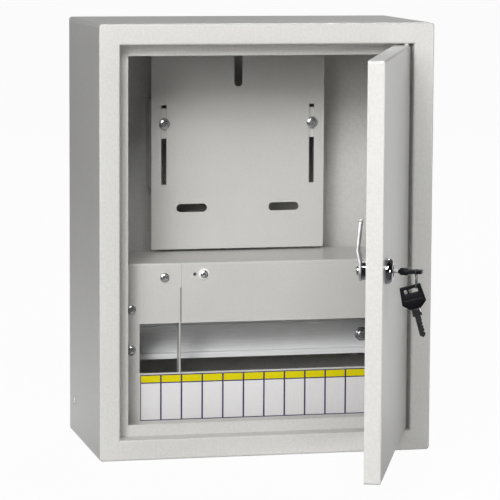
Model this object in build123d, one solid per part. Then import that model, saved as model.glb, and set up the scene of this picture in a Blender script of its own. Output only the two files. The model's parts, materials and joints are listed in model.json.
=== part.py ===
from build123d import *
import os

# Case, in millimetres; the origin is the centre of the back face, the front looks along -Y
case_w = 310.0
case_h = 395.0
case_d = 165.0
sheet = 1.2
bend_r = 2.0
corner_r = 3.0
border = 19.0
stop_w = 10.5
wall_hole_dx = 240.0
wall_hole_dz = 330.0
wall_hole_r = 4.0

# Knock-outs in the bottom wall
knock_r = 14.5
knock_groove = 0.9
knock_depth = 0.6
knock_tab = 4.0
knock_pitch = 80.0
knock_from_back = 62.0

# Door and its hidden pins
door_gap = 1.5
door_t = 14.5
stop_gap = 4.0
door_open = 69.5
pin_r = 2.0
pin_skin_gap = 0.3
pin_edge_gap = 2.0
pin_fit = 0.06
press_fit = 0.01
pin_proud = 1.0
pin_reach = 6.0
pin_collar_r = 3.2
pin_lift = 0.05

# Dead-front covers
cover_depth = 44.0
cover_side_gap = 3.8
cover_base_gap = 20.8
cover_return = 12.0
shelf_h = 174.2
wire_gap = 30.0
seam_x = -71.0
seam_w = 0.16
seam_return = 14.0
seam_return_gap = 1.0
window_x2 = 110.2
window_low = 72.5
window_high = 118.4

# Cover screws, supports and crossbar
support_gap = 2.8
support_leg = 16.0
support_low = 60.0
support_high = 150.0
side_screw_gap = 7.8
side_screw_hs = (94.6, 132.1)
top_screw_x = -86.9
top_screw_h = 161.0
seal_screw_x = -49.9
seal_screw_h = 163.3
seal_hole_x = -58.4
seal_hole_r = 1.5
bar_low = 152.0
bar_leg = 14.0
bar_shelf_gap = 1.5
cover_head_r = 4.2
cover_head_t = 2.6
cover_shank_r = 2.0
cover_shank = 7.0
seal_head_r = 3.5
seal_head_t = 2.2
seal_washer_r = 5.2
seal_washer_t = 1.2

# Circuit label strip
label_x = -109.5
label_w = 234.5
label_low = 28.2
label_high = 71.0
label_t = 0.2

# Meter plate, its slots, screws and brackets
plate_w = 167.2
plate_t = 1.5
plate_standoff = 39.5
plate_low = 176.6
plate_top_gap = 23.0
plate_corner = 2.0
top_slot_w = 8.0
top_slot_from_top = 41.7
top_slot_len = 34.0
adjust_slot_in = 12.0
adjust_slot_w = 5.0
adjust_slot_low = 61.3
adjust_slot_high = 136.6
adjust_slot_corner = 0.6
cross_slot_x = 44.7
cross_slot_up = 39.1
cross_slot_len = 29.5
cross_slot_w = 7.8
plate_screw_up = 119.1
plate_head_r = 5.2
plate_head_t = 3.0
plate_shank_r = 2.3
plate_shank = 9.0
slide_gap = 0.1
bracket_t = 1.5
bracket_bend = 2.0
bracket_half = 9.0
bracket_past = 4.5
bracket_foot = 14.0
bridge_h = 28.5
bridge_window_w = 9.0
bridge_rim = 3.0

# Top-hat rail, its brackets and bolts
rail_behind_cover = 45.0
rail_h = 95.5
rail_past = 11.8
rail_rim = 35.0
rail_channel = 26.0
rail_deep = 7.5
rail_t = 1.0
rail_bend = 1.4
rail_bolt_past = 4.2
rail_leg_past = 6.0
rail_flange = 21.0
rail_foot = 16.0
rail_bracket_h = 41.0
rail_washer_r = 6.6
rail_washer_t = 1.2
rail_head_r = 5.3
rail_head_t = 3.6
rail_shank_r = 3.0
rail_shank = 9.5
rail_nut_af = 10.0
rail_nut_t = 5.0

# Earthing bolt in the left wall
earth_from_back = 23.0
earth_h = 32.0
earth_head_r = 4.6
earth_head_t = 1.2
earth_shank_r = 3.0
earth_shank = 16.0
earth_washer_r = 6.2
earth_washer_t = 1.4
earth_nut_af = 10.0
earth_nut_t = 5.0

# Lock in the door
lock_inset = 27.0
bezel_r = 10.8
bezel_h = 6.3
bezel_round = 2.8
barrel_r = 8.0
barrel_flat = 7.0
barrel_clear = 0.1
barrel_behind_stop = 0.3
plug_r = 5.5
plug_fit = 0.05
plug_sunk = 0.4
plug_shoulder = 0.2
keyway_w = 8.4
keyway_t = 2.2
keyway_deep = 15.0
lock_washer_r = 11.6
lock_washer_t = 0.8
lock_nut_af = 22.0
lock_nut_t = 4.0
cam_t = 2.0
cam_wall_gap = 3.3
cam_hub_r = 9.0
cam_tip_w = 17.0
cam_tip_corner = 3.0
cam_dip = 2.3
cam_dip_at = 17.0
cam_tip_back = 1.0
cam_square = 6.0
cam_screw_r = 1.6
cam_screw_len = 8.0
cam_head_r = 4.3
cam_head_t = 3.2

# Key and spare key; heights are measured outward from the face of the door
key_end = 30.6
key_wide_at = 15.5
key_base = 10.5
key_end_w = 17.8
key_wide_w = 20.6
key_neck_w = 9.2
key_head_t = 4.0
key_corner = 1.0
key_edge = 0.6
key_boss_in = 1.5
key_boss_t = 6.2
key_boss_end = 19.2
key_slot_low = 24.4
key_slot_high = 27.8
key_slot_x = (-5.8, 1.9)
key_hole_x = (3.3, 6.0)
key_slot_r = 0.8
blade_t = 2.0
blade_collar_w = 8.0
blade_collar_end = 4.2
blade_w = 5.0
blade_tip = -14.3
blade_point = 2.0
blade_notches = (-9.5, -6.5, -3.8, -0.9)
blade_notch_deep = (1.2, 0.7, 1.4, 0.9)
blade_notch_w = 1.7
tang_w = 6.0
tang_end = 16.4

# Key ring, hanging on the side bar of the key head
ring_r = 8.1
ring_wire = 0.6
ring_slack = 2.5
spare_tilt = 15.5
spare_slot_side = 1.2
spare_slot_top = 0.3

# Derived positions
half_w = case_w / 2
half_h = case_h / 2
base_z = -half_h
front_y = -case_d
open_w = half_w - border
open_h = half_h - border
rebate = door_t + stop_gap
door_half_w = open_w - door_gap
door_half_h = open_h - door_gap
pin_x = door_half_w - sheet - pin_edge_gap - pin_r
pin_y = front_y + sheet + pin_skin_gap + pin_r
hinge = Axis((pin_x, pin_y, 0), (0, 0, 1))
inner_w = half_w - sheet
cover_half = inner_w - cover_side_gap
cover_y = front_y + cover_depth
support_y = cover_y + sheet
side_screw_x = window_x2 + side_screw_gap
plate_y = -plate_standoff
plate_z = base_z + plate_low
plate_h = case_h - plate_low - plate_top_gap
adjust_x = plate_w / 2 - adjust_slot_in
plate_screw_z = plate_z + plate_screw_up
rail_y = cover_y + rail_behind_cover
rail_z = base_z + rail_h
rail_back_y = rail_y + rail_deep
rail_half = window_x2 + rail_past
rail_bolt_x = window_x2 + rail_bolt_past
rail_leg_x = rail_half + rail_leg_past
barrel_end = rebate + sheet + barrel_behind_stop
cam_reach = lock_inset + door_gap + border - sheet - cam_wall_gap
lock_plane = Plane((lock_inset - door_half_w, front_y, 0), (1, 0, 0), (0, -1, 0))
on_end = (Align.CENTER, Align.CENTER, Align.MIN)
nodes = {}


def up(height):
    return base_z + height


def block(xs, ys, zs):
    middle = [(low + high) / 2 for low, high in (xs, ys, zs)]
    return Pos(*middle) * Box(xs[1] - xs[0], ys[1] - ys[0], zs[1] - zs[0])


def rod(radius, start, direction, length):
    return Plane(start, z_dir=direction) * Cylinder(radius, length, align=on_end)


def facing_front(x, y, z):
    return Plane((x, y, z), (1, 0, 0), (0, -1, 0))


def folded(points, thickness, radius, plane, length):
    line = FilletPolyline(*points, radius=radius - thickness / 2)
    return extrude(plane * trace(line, line_width=thickness), amount=length)


def upright_slot(x, low, high, width):
    shape = Plane.XZ * Pos(x, (low + high) / 2) * SlotOverall(high - low, width, rotation=90)
    return extrude(shape, amount=case_d)


def pan_screw(head_r, head_t, shank_r, shank):
    head = Cylinder(head_r, head_t, align=on_end)
    head = fillet(head.edges().group_by(Axis.Z)[-1], head_t * 0.6)
    return head + rod(shank_r, (0, 0, 0), (0, 0, -1), shank)


def hex_nut(across, thickness, hole_r):
    nut = extrude(RegularPolygon(across / 2, 6, major_radius=False), thickness)
    return nut - Cylinder(hole_r, 3 * thickness)


def ring_washer(outer_r, hole_r, thickness):
    return Cylinder(outer_r, thickness, align=on_end) - Cylinder(hole_r, 3 * thickness)


def group(pieces):
    return Compound(children=[piece.solid() for piece in pieces])


# Folded wrap: four walls, the front border, the jamb and the stop flange behind the door
walls = block((-half_w, half_w), (front_y, 0), (-half_h, half_h))
walls -= block((-inner_w, inner_w), (front_y + sheet, sheet), (sheet - half_h, half_h - sheet))
jamb_w = open_w + sheet
jamb_h = open_h + sheet
jamb_y = front_y + rebate + sheet
walls += block((-jamb_w, jamb_w), (front_y, jamb_y), (-jamb_h, jamb_h))
walls -= block((-open_w, open_w), (front_y - sheet, front_y + rebate), (-open_h, open_h))
stop_x = open_w - stop_w
stop_z = open_h - stop_w
walls -= block((-stop_x, stop_x), (front_y, jamb_y + sheet), (-stop_z, stop_z))


def at(value, *targets):
    return any(abs(abs(value) - target) < 1e-4 for target in targets)


depth_edges = walls.edges().filter_by(Axis.Y)
corner_edges = [e for e in depth_edges if at(e.center().X, half_w) and at(e.center().Z, half_h)]
walls = fillet(corner_edges, corner_r)
front_edges = walls.edges().filter_by_position(Axis.Y, front_y - 1e-4, front_y + 1e-4)
walls = fillet(front_edges, bend_r)

knock_y = -knock_from_back
knock_cut = Cylinder(knock_r, 2 * knock_depth) - Cylinder(knock_r - knock_groove, 4 * knock_depth)
knock_cut -= Box(3 * knock_r, knock_tab, 4 * knock_depth)
for column in (-1, 0, 1):
    walls -= Pos(column * knock_pitch, knock_y, base_z) * knock_cut
for side in (-1, 1):
    walls -= Pos(pin_x, pin_y, side * (open_h + sheet / 2)) * Cylinder(pin_r + press_fit, 2 * sheet)
earth_y = -earth_from_back
walls -= rod(earth_shank_r + press_fit, (-half_w - sheet, earth_y, up(earth_h)), (1, 0, 0), 3 * sheet)
nodes["enclosure_wrap"] = walls

# Back panel with the four wall holes
panel = block((-inner_w, inner_w), (-sheet, 0), (sheet - half_h, half_h - sheet))
for side in (-1, 1):
    for level in (-1, 1):
        start = (side * wall_hole_dx / 2, sheet, level * wall_hole_dz / 2)
        panel -= rod(wall_hole_r, start, (0, -1, 0), 3 * sheet)
nodes["back_panel"] = panel

# Hinge pins, pressed into the jamb; the lower one carries the door on a collar
pin_len = pin_proud + sheet + door_gap + pin_reach
upper_pin = rod(pin_r, (pin_x, pin_y, open_h + sheet + pin_proud), (0, 0, -1), pin_len)
nodes["hinge_pin_upper"] = upper_pin
lower_pin = rod(pin_r, (pin_x, pin_y, -open_h - sheet - pin_proud), (0, 0, 1), pin_len)
lower_pin += rod(pin_collar_r, (pin_x, pin_y, -open_h), (0, 0, 1), door_gap - pin_lift)
nodes["hinge_pin_lower"] = lower_pin

# Meter brackets, mirrored: channels from the back panel to the rear of the meter plate, with a bridge at the screw
bridge_y = plate_y + plate_t + slide_gap + bracket_t / 2
foot_y = -sheet - bracket_t / 2
web_x1 = adjust_x - bracket_half
web_x2 = adjust_x + bracket_half
bracket_line = (
    (web_x1 - bracket_foot, foot_y),
    (web_x1, foot_y),
    (web_x1, bridge_y),
    (web_x2, bridge_y),
    (web_x2, -sheet),
)
bracket_low = plate_z + adjust_slot_low - bracket_past
bracket_high = plate_z + adjust_slot_high + bracket_past
bracket = folded(bracket_line, bracket_t, bracket_bend, Plane.XY.offset(bracket_low), bracket_high - bracket_low)
window_xs = (adjust_x - bridge_window_w / 2, adjust_x + bridge_window_w / 2)
bridge_ys = (bridge_y - bracket_t, bridge_y + bracket_t)
bracket -= block(window_xs, bridge_ys, (bracket_low + bridge_rim, plate_screw_z - bridge_h / 2))
bracket -= block(window_xs, bridge_ys, (plate_screw_z + bridge_h / 2, bracket_high - bridge_rim))
bracket -= rod(plate_shank_r + press_fit, (adjust_x, plate_y, plate_screw_z), (0, 1, 0), plate_shank)
nodes["meter_bracket_right"] = bracket
nodes["meter_bracket_left"] = mirror(bracket, Plane.YZ)
screw = pan_screw(plate_head_r, plate_head_t, plate_shank_r, plate_shank)
screw_y = plate_y - slide_gap
nodes["meter_plate_screws"] = group(
    facing_front(side * adjust_x, screw_y, plate_screw_z) * screw for side in (-1, 1)
)

# Meter plate with its adjusting slots
plate_zs = (plate_z, plate_z + plate_h)
plate = block((-plate_w / 2, plate_w / 2), (plate_y, plate_y + plate_t), plate_zs)
plate = fillet(plate.edges().filter_by(Axis.Y), plate_corner)
top_slot_low = plate_zs[1] - top_slot_from_top
plate -= upright_slot(0, top_slot_low, top_slot_low + top_slot_len, top_slot_w)
for side in (-1, 1):
    adjust_slot = RectangleRounded(adjust_slot_w, adjust_slot_high - adjust_slot_low, adjust_slot_corner)
    adjust_mid = plate_z + (adjust_slot_low + adjust_slot_high) / 2
    plate -= extrude(Plane.XZ * Pos(side * adjust_x, adjust_mid) * adjust_slot, amount=case_d)
    level_slot = Plane.XZ * Pos(side * cross_slot_x, plate_z + cross_slot_up)
    plate -= extrude(level_slot * SlotOverall(cross_slot_len, cross_slot_w), amount=case_d)
nodes["meter_plate"] = plate

# Top-hat rail with its bolts
rim_y = rail_y + rail_t / 2
floor_y = rail_back_y - rail_t / 2
rim_z = rail_rim / 2
wall_z = rail_channel / 2
rail_line = (
    (rim_y, rail_z - rim_z),
    (rim_y, rail_z - wall_z),
    (floor_y, rail_z - wall_z),
    (floor_y, rail_z + wall_z),
    (rim_y, rail_z + wall_z),
    (rim_y, rail_z + rim_z),
)
rail = folded(rail_line, rail_t, rail_bend, Plane.YZ.offset(-rail_half), 2 * rail_half)
rail_leg_y = rail_back_y + bracket_t / 2
leg_line = (
    (rail_leg_x - rail_flange, rail_leg_y),
    (rail_leg_x, rail_leg_y),
    (rail_leg_x, foot_y),
    (rail_leg_x - rail_foot, foot_y),
)
leg_plane = Plane.XY.offset(rail_z - rail_bracket_h / 2)
leg = folded(leg_line, bracket_t, bracket_bend, leg_plane, rail_bracket_h)
leg -= rod(rail_shank_r + press_fit, (rail_bolt_x, rail_y, rail_z), (0, 1, 0), rail_deep + 2 * bracket_t)
for side in (-1, 1):
    rail -= rod(rail_shank_r + press_fit, (side * rail_bolt_x, rail_y, rail_z), (0, 1, 0), 2 * rail_deep)
nodes["din_rail"] = rail
nodes["din_rail_bracket_right"] = leg
nodes["din_rail_bracket_left"] = mirror(leg, Plane.YZ)
washer = ring_washer(rail_washer_r, rail_shank_r + press_fit, rail_washer_t)
bolt = pan_screw(rail_head_r, rail_head_t, rail_shank_r, rail_shank)
nut = hex_nut(rail_nut_af, rail_nut_t, rail_shank_r + press_fit)
seat_y = rail_back_y - rail_t
nut_y = rail_back_y + bracket_t + rail_nut_t
bolt_xs = (-rail_bolt_x, rail_bolt_x)
nodes["din_rail_washers"] = group(facing_front(x, seat_y, rail_z) * washer for x in bolt_xs)
nodes["din_rail_bolts"] = group(facing_front(x, seat_y - rail_washer_t, rail_z) * bolt for x in bolt_xs)
nodes["din_rail_nuts"] = group(facing_front(x, nut_y, rail_z) * nut for x in bolt_xs)

# Angles that carry the covers
support_mid = support_y + sheet / 2
support_line = (
    (window_x2 + support_gap, support_mid),
    (inner_w - sheet / 2, support_mid),
    (inner_w - sheet / 2, support_mid + support_leg),
)
support_plane = Plane.XY.offset(up(support_low))
support = folded(support_line, sheet, bend_r, support_plane, support_high - support_low)
for height in side_screw_hs:
    support -= rod(cover_shank_r + press_fit, (side_screw_x, cover_y, up(height)), (0, 1, 0), 4 * sheet)
nodes["cover_support_right"] = support
nodes["cover_support_left"] = mirror(support, Plane.YZ)
bar_top = up(shelf_h - sheet - bar_shelf_gap)
bar_line = (
    (support_mid, up(bar_low)),
    (support_mid, bar_top - sheet / 2),
    (support_mid + bar_leg, bar_top - sheet / 2),
)
bar = folded(bar_line, sheet, bend_r, Plane.YZ.offset(-inner_w), 2 * inner_w)
bar_holes = (
    (top_screw_x, top_screw_h, cover_shank_r + press_fit),
    (seal_screw_x, seal_screw_h, cover_shank_r + press_fit),
    (seal_hole_x, seal_screw_h, seal_hole_r),
)
for x, height, radius in bar_holes:
    bar -= rod(radius, (x, cover_y, up(height)), (0, 1, 0), 4 * sheet)
nodes["cover_crossbar"] = bar

# Covers: bottom return, front face with its window, and the shelf that runs back on top
face_mid = cover_y + sheet / 2
cover_line = (
    (face_mid + cover_return, up(cover_base_gap + sheet / 2)),
    (face_mid, up(cover_base_gap + sheet / 2)),
    (face_mid, up(shelf_h - sheet / 2)),
    (-wire_gap, up(shelf_h - sheet / 2)),
)


def cover_sheet(x_low, x_high):
    return folded(cover_line, sheet, bend_r, Plane.YZ.offset(x_low), x_high - x_low)


def cut_cover(part, window_xs, holes):
    part -= block(window_xs, (cover_y - sheet, cover_y + 2 * sheet), (up(window_low), up(window_high)))
    for x, height, radius in holes:
        part -= rod(radius, (x, cover_y - sheet, up(height)), (0, 1, 0), 3 * sheet)
    return part


seam_low = seam_x - seam_w / 2
seam_high = seam_x + seam_w / 2
shank_hole = cover_shank_r + press_fit
left_holes = [(-side_screw_x, height, shank_hole) for height in side_screw_hs]
left_holes.append((top_screw_x, top_screw_h, shank_hole))
right_holes = [(side_screw_x, height, shank_hole) for height in side_screw_hs]
right_holes.append((seal_screw_x, seal_screw_h, shank_hole))
right_holes.append((seal_hole_x, seal_screw_h, seal_hole_r))
first_window = (-window_x2, seam_low - bend_r)
return_zs = (up(window_low - seam_return_gap), up(bar_low - seam_return_gap))
return_line = (
    (seam_low - 3 * bend_r, face_mid),
    (seam_low - sheet / 2, face_mid),
    (seam_low - sheet / 2, cover_y + seam_return),
)
return_plane = Plane.XY.offset(return_zs[0])
incomer = cover_sheet(-cover_half, seam_low)
incomer -= block((seam_low - 2 * bend_r, seam_x), (cover_y - sheet, support_y + sheet), return_zs)
incomer += folded(return_line, sheet, bend_r, return_plane, return_zs[1] - return_zs[0])
nodes["cover_incomer"] = cut_cover(incomer, first_window, left_holes)
main = cover_sheet(seam_high, cover_half)
nodes["cover_main"] = cut_cover(main, (seam_low, window_x2), right_holes)

screw = pan_screw(cover_head_r, cover_head_t, cover_shank_r, cover_shank)
screw_spots = [(side * side_screw_x, height) for side in (-1, 1) for height in side_screw_hs]
screw_spots.append((top_screw_x, top_screw_h))
nodes["cover_screws"] = group(facing_front(x, cover_y, up(height)) * screw for x, height in screw_spots)
washer = ring_washer(seal_washer_r, shank_hole, seal_washer_t)
nodes["seal_washer"] = facing_front(seal_screw_x, cover_y, up(seal_screw_h)) * washer
screw = pan_screw(seal_head_r, seal_head_t, cover_shank_r, cover_shank + seal_washer_t)
seal_y = cover_y - seal_washer_t
nodes["seal_screw"] = facing_front(seal_screw_x, seal_y, up(seal_screw_h)) * screw

# Circuit label strip, cut where the covers meet
label_ys = (cover_y - label_t, cover_y)
label_zs = (up(label_low), up(label_high))
nodes["label_strip_incomer"] = block((label_x, seam_low), label_ys, label_zs)
nodes["label_strip_main"] = block((seam_high, label_x + label_w), label_ys, label_zs)

# Earthing bolt: a low head outside, washer and nut inside
earth_head = Cylinder(earth_head_r, earth_head_t, align=on_end)
earth_head = fillet(earth_head.edges().group_by(Axis.Z)[-1], earth_head_t * 0.9)
earth_head += rod(earth_shank_r, (0, 0, 0), (0, 0, -1), earth_shank)
nodes["earth_bolt"] = Plane((-half_w, earth_y, up(earth_h)), z_dir=(-1, 0, 0)) * earth_head
washer = ring_washer(earth_washer_r, earth_shank_r + press_fit, earth_washer_t)
nodes["earth_washer"] = Plane((-inner_w, earth_y, up(earth_h)), z_dir=(1, 0, 0)) * washer
nut = hex_nut(earth_nut_af, earth_nut_t, earth_shank_r + press_fit)
nodes["earth_nut"] = Plane((earth_washer_t - inner_w, earth_y, up(earth_h)), z_dir=(1, 0, 0)) * nut

# Door pan, built closed
door = block((-door_half_w, door_half_w), (front_y, front_y + door_t), (-door_half_h, door_half_h))
upright = door.edges().filter_by(Axis.Y)
door = fillet(upright, bend_r)
door = fillet(door.edges().filter_by_position(Axis.Y, front_y - 1e-4, front_y + 1e-4), bend_r)
hollow_w = door_half_w - sheet
hollow_h = door_half_h - sheet
door -= block((-hollow_w, hollow_w), (front_y + sheet, 0), (-hollow_h, hollow_h))
for side in (-1, 1):
    door -= Pos(pin_x, pin_y, side * (door_half_h - sheet / 2)) * Cylinder(pin_r + pin_fit, 2 * sheet)
barrel_hole = Cylinder(barrel_r + barrel_clear, 4 * sheet)
barrel_hole &= Box(2 * (barrel_flat + barrel_clear), 4 * barrel_r, 4 * sheet)
door -= lock_plane * barrel_hole
door_nodes = {"door_panel": door}

# Lock housing, washer and nut: X right, Y up and Z outward from the face of the door
lock_nodes = {}
bore_r = plug_r + plug_fit
housing_line = (
    (bore_r, -barrel_end),
    (barrel_r, -barrel_end),
    (barrel_r, 0),
    (bezel_r, 0),
    (bezel_r, bezel_h),
    (bore_r, bezel_h),
)
profile = make_face(Polyline(*housing_line, close=True))
profile = fillet(profile.vertices().sort_by_distance((bezel_r, bezel_h))[0], bezel_round)
housing = revolve(Plane.XZ * profile, Axis.Z)
for side in (-1, 1):
    flat_xs = sorted((side * barrel_flat, side * 2 * barrel_r))
    housing -= block(flat_xs, (-barrel_r, barrel_r), (-2 * barrel_end, 0))
lock_nodes["lock_housing"] = housing
washer = ring_washer(lock_washer_r, barrel_r + barrel_clear, lock_washer_t)
lock_nodes["lock_washer"] = Pos(0, 0, -sheet - lock_washer_t) * washer
nut = hex_nut(lock_nut_af, lock_nut_t, barrel_r + barrel_clear)
lock_nodes["lock_nut"] = Pos(0, 0, -sheet - lock_washer_t - lock_nut_t) * nut

# Plug with its keyway, and the cam on its squared end
shoulder = -barrel_end - plug_shoulder
cam_back = shoulder - cam_t
plug = rod(plug_r, (0, 0, shoulder), (0, 0, 1), bezel_h - plug_sunk - shoulder)
square = cam_square / 2 - press_fit
plug += block((-square, square), (-square, square), (cam_back + 2 * press_fit, shoulder))
keyway_x = (-keyway_w / 2, keyway_w / 2)
plug -= block(keyway_x, (-keyway_t / 2, keyway_t / 2), (-keyway_deep, 2 * bezel_h))
plug -= rod(cam_screw_r + press_fit, (0, 0, cam_back), (0, 0, 1), cam_screw_len)
lock_nodes["lock_plug"] = plug
cam_mid = shoulder - cam_t / 2
cam_line = (
    (-cam_hub_r, cam_mid),
    (cam_hub_r * 0.8, cam_mid),
    (cam_dip_at, cam_mid - cam_dip),
    (cam_reach, cam_mid - cam_tip_back + cam_dip / 2),
)
cam = folded(cam_line, cam_t, 2 * cam_t, Plane.YZ.offset(-cam_hub_r), 2 * cam_hub_r)
tip = cam_tip_w / 2
arm_line = ((-cam_hub_r, 0), (cam_hub_r, 0), (tip, cam_reach), (-tip, cam_reach))
arm = make_face(Polyline(*arm_line, close=True))
arm = fillet(arm.vertices().group_by(Axis.Y)[-1], cam_tip_corner)
cam_plan = Circle(cam_hub_r) + arm
cam &= extrude(Plane.XY.offset(-2 * barrel_end) * cam_plan, amount=2 * barrel_end)
half_square = cam_square / 2
cam -= block((-half_square, half_square), (-half_square, half_square), (2 * cam_back, 0))
lock_nodes["lock_cam"] = cam
cam_screw = pan_screw(cam_head_r, cam_head_t, cam_screw_r, cam_screw_len - 2 * sheet)
lock_nodes["cam_screw"] = Plane((0, 0, cam_back), z_dir=(0, 0, -1)) * cam_screw


# Key: a notched steel blade with a tang, and a flat plastic head with a slot and a small hole
def key_blade():
    half = blade_w / 2
    collar = blade_collar_w / 2
    line = (
        (-collar, key_base),
        (-collar, blade_collar_end),
        (-half, blade_collar_end),
        (-half, blade_tip + blade_point),
        (0, blade_tip),
        (half, blade_tip + blade_point),
        (half, blade_collar_end),
        (collar, blade_collar_end),
        (collar, key_base),
        (tang_w / 2, key_base),
        (tang_w / 2, tang_end),
        (-tang_w / 2, tang_end),
        (-tang_w / 2, key_base),
    )
    plan = make_face(Polyline(*line, close=True))
    for height, deep in zip(blade_notches, blade_notch_deep):
        low = height - blade_notch_w / 2
        high = height + blade_notch_w / 2
        notch = ((-half, low), (deep - half, height), (-half, high), (-blade_w, high), (-blade_w, low))
        plan -= make_face(Polyline(*notch, close=True))
    return extrude(Plane.XZ * plan, amount=blade_t / 2, both=True)


def rounded_cut(xs, zs):
    middle = Pos((xs[0] + xs[1]) / 2, (zs[0] + zs[1]) / 2)
    return middle * RectangleRounded(xs[1] - xs[0], zs[1] - zs[0], key_slot_r)


def key_head():
    line = (
        (-key_end_w / 2, key_end),
        (key_end_w / 2, key_end),
        (key_wide_w / 2, key_wide_at),
        (key_neck_w / 2, key_base),
        (-key_neck_w / 2, key_base),
        (-key_wide_w / 2, key_wide_at),
    )
    plan = make_face(Polyline(*line, close=True))
    boss_top = Pos(0, key_boss_end) * Rectangle(key_wide_w, key_end, align=(Align.CENTER, Align.MIN))
    boss_plan = offset(plan, -key_boss_in) - boss_top
    plan = fillet(plan.vertices(), key_corner)
    plan -= rounded_cut(key_slot_x, (key_slot_low, key_slot_high))
    plan -= rounded_cut(key_hole_x, (key_slot_low, key_slot_high))
    head = extrude(Plane.XZ * plan, amount=key_head_t / 2, both=True)
    faces = head.faces().sort_by(Axis.Y)
    head = chamfer(faces[0].edges() + faces[-1].edges(), key_edge)
    boss = extrude(Plane.XZ * boss_plan, amount=key_boss_t / 2, both=True)
    faces = boss.faces().sort_by(Axis.Y)
    head += chamfer(faces[0].edges() + faces[-1].edges(), key_edge)
    return head - block((-tang_w / 2, tang_w / 2), (-blade_t / 2, blade_t / 2), (0, tang_end))


lock_nodes["key_blade"] = key_blade()
lock_nodes["key_head"] = key_head()

# Ring on the side bar of the key head, and the spare key on the ring
ring_h = (key_slot_low + key_slot_high) / 2
key_slope = (key_wide_w - key_end_w) / 2 / (key_end - key_wide_at)
bar_edge = key_end_w / 2 + key_slope * (key_end - ring_h)
bar_x = (key_slot_x[0] - bar_edge) / 2
ring_drop = ring_r - ring_wire - ring_slack
lock_nodes["key_ring"] = Pos(bar_x, -ring_drop, ring_h) * Torus(ring_r, ring_wire)
pivot = Plane((bar_x, -ring_drop - ring_r, ring_h), (0, 0, -1), (0, 1, 0)) * Rot(0, spare_tilt, 0)
hang_x = key_slot_x[0] + spare_slot_side
hang_z = key_slot_high - ring_wire - spare_slot_top
lock_nodes["spare_key_blade"] = pivot * Pos(-hang_x, 0, -hang_z) * key_blade()
lock_nodes["spare_key_head"] = pivot * Pos(-hang_x, 0, -hang_z) * key_head()

# The door stands open, with the lock and the keys on it
for name, part in lock_nodes.items():
    door_nodes[name] = lock_plane * part
for name, part in door_nodes.items():
    nodes[name] = part.rotate(hinge, door_open)

os.makedirs("parts", exist_ok=True)
for name, part in nodes.items():
    export_step(part, f"parts/{name}.step")
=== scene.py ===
import json
import math
import bmesh
import bpy
from mathutils import Matrix, Vector


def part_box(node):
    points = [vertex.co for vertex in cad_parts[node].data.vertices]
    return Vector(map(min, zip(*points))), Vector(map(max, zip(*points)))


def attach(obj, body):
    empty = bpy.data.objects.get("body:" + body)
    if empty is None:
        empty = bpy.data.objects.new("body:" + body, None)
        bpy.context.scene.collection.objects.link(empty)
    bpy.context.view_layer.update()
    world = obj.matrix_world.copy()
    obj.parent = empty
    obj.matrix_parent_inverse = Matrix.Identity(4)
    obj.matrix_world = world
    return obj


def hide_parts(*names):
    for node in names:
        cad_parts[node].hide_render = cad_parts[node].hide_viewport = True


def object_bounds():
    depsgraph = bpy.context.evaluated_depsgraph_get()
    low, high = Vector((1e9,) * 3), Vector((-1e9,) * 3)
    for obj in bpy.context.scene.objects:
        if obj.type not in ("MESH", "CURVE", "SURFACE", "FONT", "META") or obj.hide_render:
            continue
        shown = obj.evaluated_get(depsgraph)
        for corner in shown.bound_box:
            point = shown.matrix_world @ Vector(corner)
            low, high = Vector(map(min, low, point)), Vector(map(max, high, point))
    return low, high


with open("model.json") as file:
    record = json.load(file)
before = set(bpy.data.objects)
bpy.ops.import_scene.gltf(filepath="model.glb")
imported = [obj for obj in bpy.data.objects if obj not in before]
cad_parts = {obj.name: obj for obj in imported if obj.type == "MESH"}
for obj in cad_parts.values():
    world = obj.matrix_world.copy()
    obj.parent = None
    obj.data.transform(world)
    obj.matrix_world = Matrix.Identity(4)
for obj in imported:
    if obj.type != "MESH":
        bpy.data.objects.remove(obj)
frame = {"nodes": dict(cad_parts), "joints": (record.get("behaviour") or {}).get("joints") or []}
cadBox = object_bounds()
nodes = frame["nodes"]
joints = {j["name"]: j for j in frame["joints"]}
scene = bpy.context.scene
scene.view_settings.view_transform = "Standard"
mm = 0.001
baseZ = cadBox[0][2] / mm  # underside of the case, in millimetres
print("frame loaded:", len(nodes), "solids")


# small helpers for shader and geometry trees
def addNode(tree, kind, **values):
    made = tree.nodes.new(kind)
    for name, value in values.items():
        setattr(made, name, value)
    return made


def wire(tree, source, target):
    tree.links.new(source, target)


def feed(tree, socket, value):
    if isinstance(value, bpy.types.NodeSocket):
        wire(tree, value, socket)
    else:
        socket.default_value = value


def reckon(tree, operation, *terms):
    made = addNode(tree, "ShaderNodeMath", operation=operation)
    for socket, term in zip(made.inputs, terms):
        feed(tree, socket, term)
    return made.outputs[0]


def newFinish(name, color, metallic, roughness):
    made = bpy.data.materials.new(name)
    made.use_nodes = True
    tree = made.node_tree
    shader = tree.nodes["Principled BSDF"]
    shader.inputs["Base Color"].default_value = (*color, 1)
    shader.inputs["Metallic"].default_value = metallic
    shader.inputs["Roughness"].default_value = roughness
    made.diffuse_color = (*color, 1)
    return made, tree, shader


def noiseFrom(tree, scale, detail, stretch=None):
    place = addNode(tree, "ShaderNodeTexCoord").outputs["Object"]
    if stretch:
        turn = addNode(tree, "ShaderNodeMapping")
        turn.inputs["Scale"].default_value = stretch
        wire(tree, place, turn.inputs["Vector"])
        place = turn.outputs["Vector"]
    cloud = addNode(tree, "ShaderNodeTexNoise")
    cloud.inputs["Scale"].default_value = scale
    cloud.inputs["Detail"].default_value = detail
    wire(tree, place, cloud.inputs["Vector"])
    return cloud.outputs["Fac"]


def twoTone(tree, source, stops, dark, light):
    made = addNode(tree, "ShaderNodeValToRGB")
    for element, spot, color in zip(made.color_ramp.elements, stops, (dark, light)):
        element.position = spot
        element.color = (*color, 1)
    wire(tree, source, made.inputs["Fac"])
    return made.outputs["Color"]


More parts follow.
